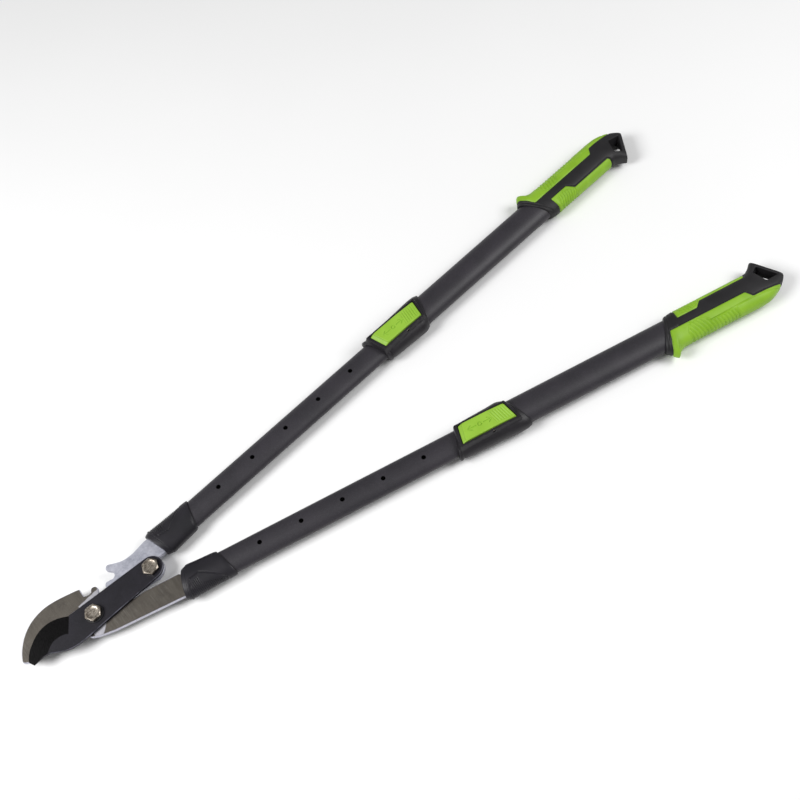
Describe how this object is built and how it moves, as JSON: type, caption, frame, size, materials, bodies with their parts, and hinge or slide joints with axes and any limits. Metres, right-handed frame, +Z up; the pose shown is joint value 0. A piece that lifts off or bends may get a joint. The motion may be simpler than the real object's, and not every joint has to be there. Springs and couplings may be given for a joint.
{
  "type": "bypass loppers",
  "caption": "Two-handed bypass loppers with a geared compound head, slide-out oval handles locked by rocker buttons, and soft-covered flared grips.",
  "frame": {"origin": "bottom centre of the bounding box, with the tool lying flat, jaws closed and handles fully extended", "axes": "+X from the jaws back to the grips, along the line that halves the angle between the handles; +Y to the side of the handle that carries the gear lever; +Z up, to the side of the lock buttons and bolt heads"},
  "size_m": [0.9317, 0.31, 0.0339],
  "materials": {
    "ground_steel": "satin",
    "blade_coating": "satin",
    "zinc_plate": "satin",
    "nickel_steel": "satin",
    "black_steel": "satin",
    "tube_paint": "satin",
    "black_plastic": "satin",
    "green_overmould": "satin",
    "green_plastic": "satin",
    "spring_steel": "satin"
  },
  "bodies": {
    "hook_half": {"hook_plate": "ground_steel", "pivot_bolt": "nickel_steel", "pivot_washer": "black_steel", "pivot_lower_washer": "zinc_plate", "pivot_nut": "zinc_plate", "lower_ferrule": "black_plastic", "lower_tang_insert": "black_plastic", "lower_front_tang_pin": "zinc_plate", "lower_rear_tang_pin": "zinc_plate", "lower_inner_tube": "tube_paint", "lower_glide_plug": "black_plastic"},
    "blade": {"cutting_blade": "blade_coating", "gear_bolt": "nickel_steel", "gear_lower_washer": "zinc_plate", "gear_nut": "zinc_plate"},
    "lever_half": {"lever_gear": "zinc_plate", "upper_ferrule": "black_plastic", "upper_tang_insert": "black_plastic", "upper_front_tang_pin": "zinc_plate", "upper_rear_tang_pin": "zinc_plate", "upper_inner_tube": "tube_paint", "upper_glide_plug": "black_plastic"},
    "upper_handle": {"upper_outer_tube": "tube_paint", "upper_lock_collar": "black_plastic", "upper_rocker_pin": "nickel_steel", "upper_rocker_spring": "spring_steel", "upper_grip_core": "black_plastic", "upper_grip_outer_cover": "green_overmould", "upper_grip_inner_cover": "green_overmould"},
    "upper_rocker": {"upper_rocker_button": "green_plastic", "upper_lock_peg": "nickel_steel"},
    "lower_handle": {"lower_outer_tube": "tube_paint", "lower_lock_collar": "black_plastic", "lower_rocker_pin": "nickel_steel", "lower_rocker_spring": "spring_steel", "lower_grip_core": "black_plastic", "lower_grip_outer_cover": "green_overmould", "lower_grip_inner_cover": "green_overmould"},
    "lower_rocker": {"lower_rocker_button": "green_plastic", "lower_lock_peg": "nickel_steel"}
  },
  "joints": [
    {"name": "blade_pivot", "type": "hinge", "parent": "hook_half", "child": "blade", "pos_m": [-0.37974, 0.00019, 0.0146], "axis": [0, 0, 1], "range_deg": [0, 54]},
    {"name": "lever_pivot", "type": "hinge", "parent": "blade", "child": "lever_half", "pos_m": [-0.30453, 0.00783, 0.0146], "axis": [0, 0, 1], "range_deg": [0, 30.4]},
    {"name": "upper_slide", "type": "slide", "parent": "lever_half", "child": "upper_handle", "axis": [0.9894, 0.1452, 0], "range_m": [-0.25, 0]},
    {"name": "upper_rocker_hinge", "type": "hinge", "parent": "upper_handle", "child": "upper_rocker", "pos_m": [0.08131, 0.08316, 0.0292], "axis": [-0.1452, 0.9894, 0], "range_deg": [0, 4.5], "stiffness_Nm_per_rad": 1.5, "springref_deg": -2.86, "deforming": ["upper_rocker_spring"]},
    {"name": "lower_slide", "type": "slide", "parent": "hook_half", "child": "lower_handle", "axis": [0.9894, -0.1452, 0], "range_m": [-0.25, 0]},
    {"name": "lower_rocker_hinge", "type": "hinge", "parent": "lower_handle", "child": "lower_rocker", "pos_m": [0.08389, -0.08316, 0.0292], "axis": [0.1452, 0.9894, 0], "range_deg": [0, 4.5], "stiffness_Nm_per_rad": 1.5, "springref_deg": -2.86, "deforming": ["lower_rocker_spring"]}
  ],
  "couplings": [
    {"joint": "lever_pivot", "follows": "blade_pivot", "ratio": 0.5625}
  ]
}
